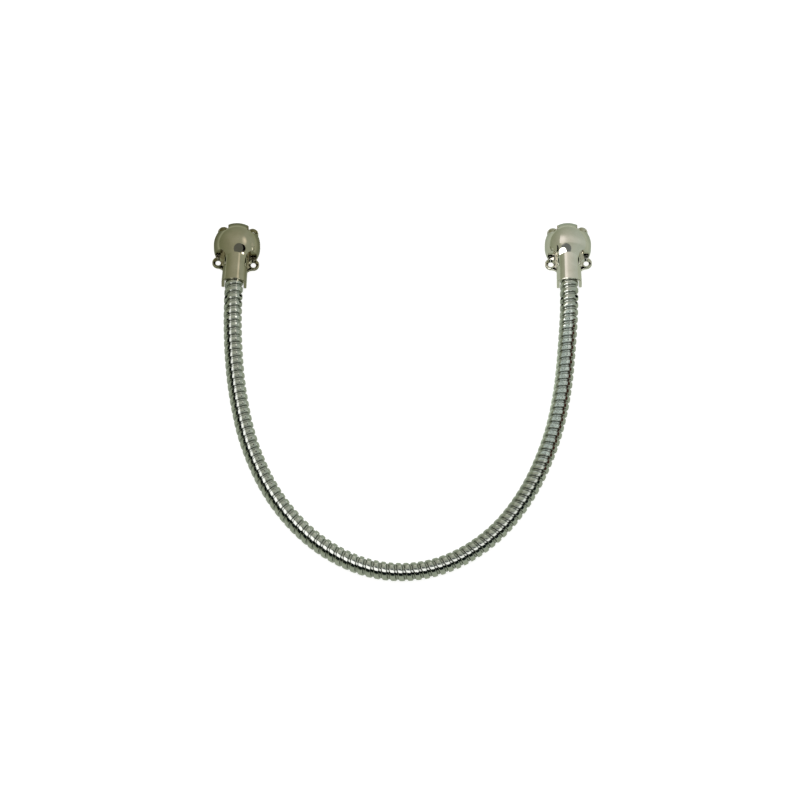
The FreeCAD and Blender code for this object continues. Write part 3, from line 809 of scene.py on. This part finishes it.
@dataclass
class Studio:
    """White floor, the lamp cloths and flags that the metal reflects, the sky and the camera."""

    target: Point = (-0.001465, -0.09345, 0.0)
    elevation: float = 66.0
    distance: float = 14.0
    frame_width: float = 0.4784
    clip: Pair = (0.1, 20.0)
    floor_drop: float = 0.0002
    floor_half: float = 3.0
    sky: float = 0.95
    tent_radius: float = 1.6
    tent_rings: int = 8
    tent_sides: int = 32
    disc_sides: int = 40
    crescent_steps: int = 24
    right_hood_axis: Pair = (0.0997, 0.0067)
    ear_flag_inward: float = 0.0006
    ear_flag_height: float = 0.0098
    ear_lamp_inward: float = 0.0012
    ear_lamp_height: float = 0.0094
    sheet_starts: Sequence[float] = (-0.1280, -0.0910, 0.0700, 0.1095)
    sheet_size: Pair = (0.018, 0.013)
    sheet_y: float = -0.025
    card_count: int = field(default=0, init=False)

    def view_direction(self) -> Vector:
        """Unit vector from the part to the camera."""
        rise = math.radians(self.elevation)
        return Vector((0.0, -math.cos(rise), math.sin(rise)))

    def camera(self) -> None:
        """Creates the camera, far away with a long lens, as flat as the photograph."""
        data = bpy.data.cameras.new("camera")
        data.lens = data.sensor_width * self.distance / self.frame_width
        data.clip_start, data.clip_end = self.clip
        camera = bpy.data.objects.new("camera", data)
        back = self.view_direction()
        camera.location = Vector(self.target) + back * self.distance
        camera.rotation_euler = back.to_track_quat("Z", "Y").to_euler()
        bpy.context.scene.collection.objects.link(camera)
        bpy.context.scene.camera = camera

    def floor(self) -> None:
        """Lays the white floor just under the caps."""
        half, low = self.floor_half, -self.floor_drop
        corners = [(-half, -half, low), (half, -half, low), (half, half, low), (-half, half, low)]
        self._stage("floor", corners, [(0, 1, 2, 3)], WhitePaper().material())

    def _stage(
        self,
        name: str,
        corners: Sequence[Point],
        faces: Sequence[Sequence[int]],
        material: bpy.types.Material,
    ) -> bpy.types.Object:
        """Adds one mesh that isn't part of the object.

        Args:
            name: The mesh's name.
            corners: Its points.
            faces: Its faces, as numbers of points.
            material: Its finish.

        Returns:
            The mesh's object.
        """
        mesh = bpy.data.meshes.new(name)
        mesh.from_pydata([tuple(corner) for corner in corners], [], [tuple(face) for face in faces])
        mesh.materials.append(material)
        made = bpy.data.objects.new(name, mesh)
        bpy.context.scene.collection.objects.link(made)
        return made

    def _card(
        self,
        corners: Sequence[Point],
        faces: Sequence[Sequence[int]],
        glow: StudioGlow,
        shares: Sequence[float] = (),
    ) -> None:
        """Adds a cloth or flag that is seen in the metal alone.

        Args:
            corners: Its points.
            faces: Its faces, as numbers of points.
            glow: Its brightness.
            shares: How much of a soft one shows at each point.
        """
        self.card_count += 1
        card = self._stage(f"card_{self.card_count}_{glow.name}", corners, faces, glow.material())
        card.visible_camera = False
        card.visible_diffuse = False
        card.visible_shadow = False
        card.visible_transmission = False
        card.visible_volume_scatter = False
        if shares:
            fade = card.data.attributes.new(FADE, "FLOAT", "POINT")
            for place, share in zip(fade.data, shares):
                place.value = share

    def curtain(
        self,
        line: Sequence[Point],
        near: Edge,
        far: Edge,
        glow: StudioGlow,
        shares: Point = (1.0, 1.0, 1.0),
    ) -> None:
        """Hangs a cloth or flag that runs along the outside of the hose.

        Args:
            line: Points along the hose, left to right.
            near: Its first edge at the line's start, middle and end, each as how far it lies
                outside the hose's axis and its height.
            far: Its second edge, given in the same way.
            glow: Its brightness.
            shares: How much of a soft one shows at the line's start, middle and end.
        """
        corners: list[Point] = []
        shown: list[float] = []
        for number, point in enumerate(line):
            before, after = line[max(number - 1, 0)], line[min(number + 1, len(line) - 1)]
            run = Vector((after[0] - before[0], after[1] - before[1], 0.0)).normalized()
            away = Vector((run.y, -run.x, 0.0))
            share = 2.0 * number / (len(line) - 1)
            first = min(int(share), 1)
            for edge in (near, far):
                distance, height = Vector(edge[first]).lerp(Vector(edge[first + 1]), share - first)
                corners.append(tuple(Vector((point[0], point[1], height)) + away * distance))
                shown.append(shares[first] + (shares[first + 1] - shares[first]) * (share - first))
        faces = [(2 * n, 2 * n + 1, 2 * n + 3, 2 * n + 2) for n in range(len(line) - 1)]
        self._card(corners, faces, glow, shown)

    def disc(self, centre: Point, facing: Vector, half: Pair, glow: StudioGlow) -> None:
        """Hangs a round or oval card. A soft one fades from its middle to its rim.

        Args:
            centre: Its middle.
            facing: The way it faces.
            half: Half its width and half its height.
            glow: Its brightness.
        """
        sides = self.disc_sides
        turn = facing.to_track_quat("Z", "Y").to_matrix()
        middle = Vector(centre)
        corners = [tuple(middle)]
        for number in range(sides):
            angle = math.tau * number / sides
            reach = Vector((half[0] * math.cos(angle), half[1] * math.sin(angle), 0.0))
            corners.append(tuple(middle + turn @ reach))
        faces = [(0, number + 1, (number + 1) % sides + 1) for number in range(sides)]
        self._card(corners, faces, glow, [1.0])

    def crescent(
        self, centre: Point, facing: Vector, radii: Pair, turns: Pair, glow: StudioGlow
    ) -> None:
        """Hangs a card in the shape of a crescent.

        Args:
            centre: The middle of its inner edge's circle.
            facing: The way it faces.
            radii: The radius of its inner edge, and of its outer edge where it is widest.
            turns: The turns from the right at which it starts and ends, in degrees.
            glow: Its brightness.
        """
        turn = facing.to_track_quat("Z", "Y").to_matrix()
        corners = []
        for number in range(self.crescent_steps + 1):
            share = number / self.crescent_steps
            angle = math.radians(turns[0] + (turns[1] - turns[0]) * share)
            outer = radii[0] + (radii[1] - radii[0]) * math.sin(math.pi * share)
            for radius in (radii[0], outer):
                reach = Vector((radius * math.cos(angle), radius * math.sin(angle), 0.0))
                corners.append(tuple(Vector(centre) + turn @ reach))
        faces = [(2 * n, 2 * n + 1, 2 * n + 3, 2 * n + 2) for n in range(self.crescent_steps)]
        self._card(corners, faces, glow)

    def window(
        self, radius: float, rows: Sequence[Pair], turns: Sequence[Pair], glow: StudioGlow
    ) -> None:
        """Hangs a cloth bent round the right hood's axis, well above it. It fades to the right and backward.

        Args:
            radius: How far the cloth is from the hood's axis.
            rows: The Y and the share of the brightness, from the front edge to the back.
            turns: The turn from straight up, in degrees, and the share of the brightness, left to right.
            glow: Its brightness, which is a soft one.
        """
        axis_x, axis_z = self.right_hood_axis
        corners, shares = [], []
        for y, front in rows:
            for turn, side in turns:
                angle = math.radians(turn)
                corners.append((axis_x + radius * math.sin(angle), y, axis_z + radius * math.cos(angle)))
                shares.append(front * side)
        wide = len(turns)
        faces = [
            (n, n + 1, n + wide + 1, n + wide)
            for row in range(len(rows) - 1)
            for n in range(row * wide, row * wide + wide - 1)
        ]
        self._card(corners, faces, glow, shares)

    def roof(self, glow: StudioGlow) -> None:
        """Hangs the tent, an open bowl over the part."""
        rings, sides = self.tent_rings, self.tent_sides
        corners: list[Point] = []
        for ring in range(rings + 1):
            rise = 0.5 * math.pi * ring / rings
            out, up = math.cos(rise), math.sin(rise)
            for number in range(sides):
                turn = math.tau * number / sides
                reach = Vector((out * math.cos(turn), out * math.sin(turn), up))
                corners.append(tuple(reach * self.tent_radius))
        faces = []
        for low in range(0, rings * sides, sides):
            for number in range(sides):
                onward = (number + 1) % sides
                faces.append((low + number, low + onward, low + sides + onward, low + sides + number))
        self._card(corners, faces, glow)

    def world(self) -> None:
        """Lights everything evenly from all round."""
        world = bpy.data.worlds.new("studio")
        world.use_nodes = True
        nodes = Nodes(world.node_tree)
        strength = nodes.ranged(nodes.seen(), 0.0, 1.0, self.sky, 1.0)
        background = nodes.add("ShaderNodeBackground", None, Color=(1, 1, 1, 1), Strength=strength)
        nodes.add("ShaderNodeOutputWorld", None, Surface=background.outputs[0])
        bpy.context.scene.world = world

    def surroundings(self) -> None:
        """Hangs the tent, and lays the tones of the paper that the metal shows."""
        tent = TentGlow(
            "tent_cloth",
            crown=((0.38, 0.39, 0.30), (0.50, 0.51, 0.43), (0.48, 0.52, 0.46)),
            foot=((0.27, 0.30, 0.20), (0.36, 0.40, 0.31), (0.46, 0.51, 0.44)),
            half=self.tent_radius,
        )
        self.roof(tent)
        paper = StudioGlow("paper_tone", (0.46, 0.50, 0.40))
        left_shade = StudioGlow("left_shade", (0.15, 0.17, 0.10), soft=True)
        right_shade = StudioGlow("right_shade", (0.30, 0.35, 0.27), soft=True)
        self.disc((0.0, -0.09, -0.0001), -DOWN, (1.59, 1.59), paper)
        self.disc((-0.104, 0.018, 0.0001), -DOWN, (0.080, 0.080), left_shade)
        self.disc((0.100, 0.028, 0.0001), -DOWN, (0.050, 0.050), right_shade)

    def beside_hose(self, line: Sequence[Point]) -> None:
        """Hangs the flags and cloths whose reflections run along the hose.

        Args:
            line: Points along the hose, left to right.
        """
        flag = StudioGlow("flag", (0.0, 0.004, 0.003))
        red_flag = StudioGlow("red_flag", (0.06, 0.022, 0.014))
        white = StudioGlow("lamp_cloth", (1.0, 0.98, 0.98), 1.8, soft=True)
        teal = StreakedGlow("blue_cloth", (1.12, 1.24, 1.19), dark=(0.10, 0.12, 0.11))
        right_leg = on_right_leg(line, -0.130, -0.028)
        self.curtain(
            below(line, -0.038, -0.136),
            near=((0.022, 0.0145), (0.04, 0.0198), (0.022, 0.0108)),
            far=((0.022, 0.0319), (0.04, 0.080), (0.022, 0.0255)),
            glow=flag,
        )
        self.curtain(
            on_right_leg(line, -0.138, -0.038),
            near=((0.022, 0.0085),) * 3,
            far=((0.022, 0.0235),) * 3,
            glow=red_flag,
        )
        self.curtain(
            below(line, -0.026, -0.130),
            near=((0.0088, 0.03), (0.0005, 0.03), (0.0090, 0.03)),
            far=((0.0195, 0.03), (0.015, 0.03), (0.020, 0.03)),
            glow=white,
            shares=(0.58, 1.0, 0.42),
        )
        self.curtain(right_leg, near=((-0.036, 0.03),) * 3, far=((0.0275, 0.03),) * 3, glow=teal)
        self.curtain(
            right_leg,
            near=((0.0075, 0.0297),) * 3,
            far=((0.017, 0.0297),) * 3,
            glow=white,
            shares=(0.05, 0.25, 0.50),
        )

    def before_domes(self, black: StudioGlow) -> None:
        """Hangs what the domes show small and sharp: the lens's hood, two lamps and a crescent.

        Args:
            black: The brightness of the crescent.
        """
        back = self.view_direction()
        lens_hood = StudioGlow("lens_hood", (0.17, 0.18, 0.18))
        lamp = StudioGlow("front_lamp", (1.0, 0.97, 0.95), 4.0)
        left_facing = Vector((-0.4344, 0.7352, -0.5203))
        right_facing = Vector((0.3802, 0.6803, -0.6265))
        self.disc((0.004, -0.248, 0.45), back, (0.24, 0.24), lens_hood)
        self.disc((-0.0781, -0.0323, 0.0337), left_facing, (0.005, 0.005), lamp)
        self.disc((0.0797, -0.0280, 0.0385), right_facing, (0.014, 0.018), lamp)
        self.crescent((-0.0904, -0.0480, 0.1024), back, (0.051, 0.086), (-62.0, 50.0), black)

    def over_ears(self, black: StudioGlow) -> None:
        """Hangs a small flag and a small lamp over each ear, a little inward of its hole.

        Args:
            black: The brightness of the flags.
        """
        lamp = StudioGlow("ear_lamp", (1.0, 1.0, 0.97), 3.0)
        for row in (LOWER_EARS, UPPER_EARS):
            for number, (x, y) in enumerate(row.holes):
                inward = 1.0 - 2.0 * (number % 2)
                flag_x = x + self.ear_flag_inward * inward
                lamp_x = x + self.ear_lamp_inward * inward
                self.disc((flag_x, y + row.flag_y, self.ear_flag_height), DOWN, row.flag_half, black)
                self.disc((lamp_x, y + row.lamp_y, self.ear_lamp_height), DOWN, row.lamp_half, lamp)

    def soft_lights(self) -> None:
        """Hangs the soft lights: a gleam inside the bow, a side lamp and the window."""
        gleam = StudioGlow("inner_gleam", (0.78, 0.86, 0.70), soft=True)
        side_lamp = StudioGlow("side_lamp", (1.0, 0.94, 0.86), 1.15, soft=True)
        self.disc((0.074, -0.085, 0.0001), -DOWN, (0.030, 0.070), gleam)
        self.disc((0.020, 0.045, 0.170), DOWN, (0.068, 0.100), side_lamp)
        left = ((-37.0, 1.0), (-28.0, 0.80), (-15.0, 0.58), (0.0, 0.42))
        right = ((30.0, 0.30), (60.0, 0.22), (90.0, 0.15))
        self.window(
            radius=0.060,
            rows=((0.0031, 1.0), (0.024, 1.0), (0.060, 0.0)),
            turns=left + right,
            glow=StudioGlow("window", (0.98, 0.93, 0.88), soft=True),
        )

    def black_sheets(self, black: StudioGlow) -> None:
        """Stands a small black sheet on each side of the hose before each cap.

        Args:
            black: The brightness of the sheets.
        """
        wide, high = self.sheet_size
        for start in self.sheet_starts:
            sheet = ((0.0, 0.0), (wide, 0.0), (wide, high), (0.0, high))
            self._card([(start + x, self.sheet_y, z) for x, z in sheet], [(0, 1, 2, 3)], black)

    def build(self, line: Sequence[Point]) -> None:
        """Sets the whole studio up.

        Args:
            line: Points along the hose, left to right.
        """
        black = StudioGlow("ear_flag", (0.0, 0.0, 0.0))
        self.floor()
        self.world()
        self.surroundings()
        self.beside_hose(line)
        self.before_domes(black)
        self.over_ears(black)
        self.soft_lights()
        self.black_sheets(black)
        bpy.context.scene.view_settings.view_transform = "Standard"
        log.info("studio: %d cards", self.card_count)


def main() -> None:
    """Builds the whole scene."""
    studio = Studio()
    studio.camera()
    route = Route()
    WoundHose(route, RolledSteel()).build()
    # Painted light and shade: both caps are the same nickel, but the left copy is darkened as painted shade
    # and the right one lightened as painted light.
    left = Plating("left_nickel_painted_shade", bright=(0.54, 0.50, 0.38), deep=(0.45, 0.42, 0.30))
    right = Plating("right_nickel_painted_light", bright=(0.82, 0.80, 0.73), deep=(0.72, 0.70, 0.62))
    nickel = {Side.LEFT: left, Side.RIGHT: right}
    for side in Side:
        CapEnd(side, nickel[side], CrimpedZinc(), MouldedNylon()).dress()
    studio.build([tuple(vertex.co) for vertex in route.line_mesh().vertices])


if __name__ == "__main__":
    main()
